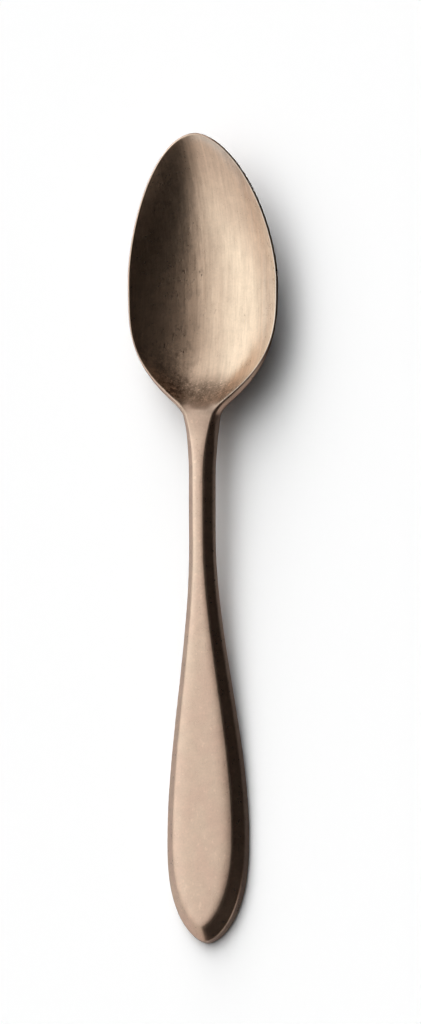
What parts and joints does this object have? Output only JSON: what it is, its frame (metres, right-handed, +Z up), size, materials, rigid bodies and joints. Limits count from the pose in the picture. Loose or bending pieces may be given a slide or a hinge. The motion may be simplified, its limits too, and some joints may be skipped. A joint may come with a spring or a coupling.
{
  "type": "dessert spoon",
  "caption": "Dessert spoon with an egg-shaped bowl, a slim neck and a broad bevelled handle, in satin rose-bronze metal.",
  "frame": {"origin": "on the table, under the middle of the spoon's box", "axes": "+Y along the spoon from the handle's end to the tip of the bowl, +Z up out of the open bowl, +X to the right"},
  "size_m": [0.038, 0.185, 0.0129],
  "materials": {
    "bronze_coated_steel": "satin rose-bronze coating on stainless steel, tumbled matt on the handle and finely brushed along the bowl, with small dark specks"
  },
  "bodies": {
    "root": {"spoon": "bronze_coated_steel"}
  },
  "joints": []
}
